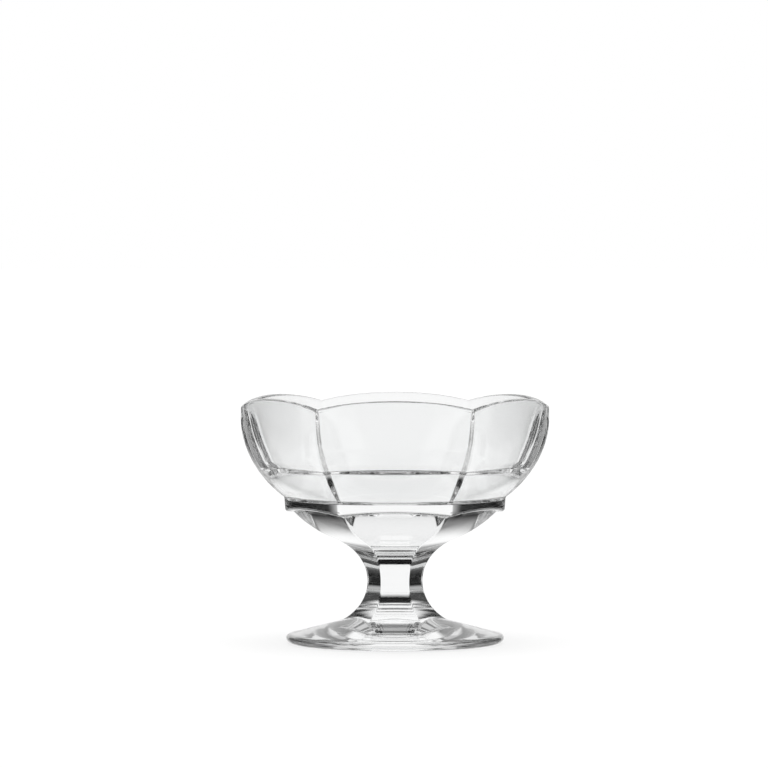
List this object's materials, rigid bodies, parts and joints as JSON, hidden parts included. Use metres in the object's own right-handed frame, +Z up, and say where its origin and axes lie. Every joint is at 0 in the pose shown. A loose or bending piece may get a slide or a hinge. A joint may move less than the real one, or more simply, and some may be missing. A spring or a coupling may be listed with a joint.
{
  "type": "footed ice-cream coupe",
  "caption": "Clear pressed-glass dessert coupe: a lobed bowl with a scalloped rim, a belt and a faceted cup, on a waisted faceted stem and a round foot, for serving ice cream and sundaes.",
  "frame": {"origin": "on the table, under the middle of the foot", "axes": "+Z up along the glass's axis, -Y through the middle of a panel of the bowl"},
  "size_m": [0.1152, 0.1072, 0.092],
  "materials": {
    "clear_glass": "clear, smooth and fire-polished"
  },
  "bodies": {
    "root": {"bowl": "clear_glass", "stem": "clear_glass", "foot": "clear_glass"}
  },
  "joints": []
}
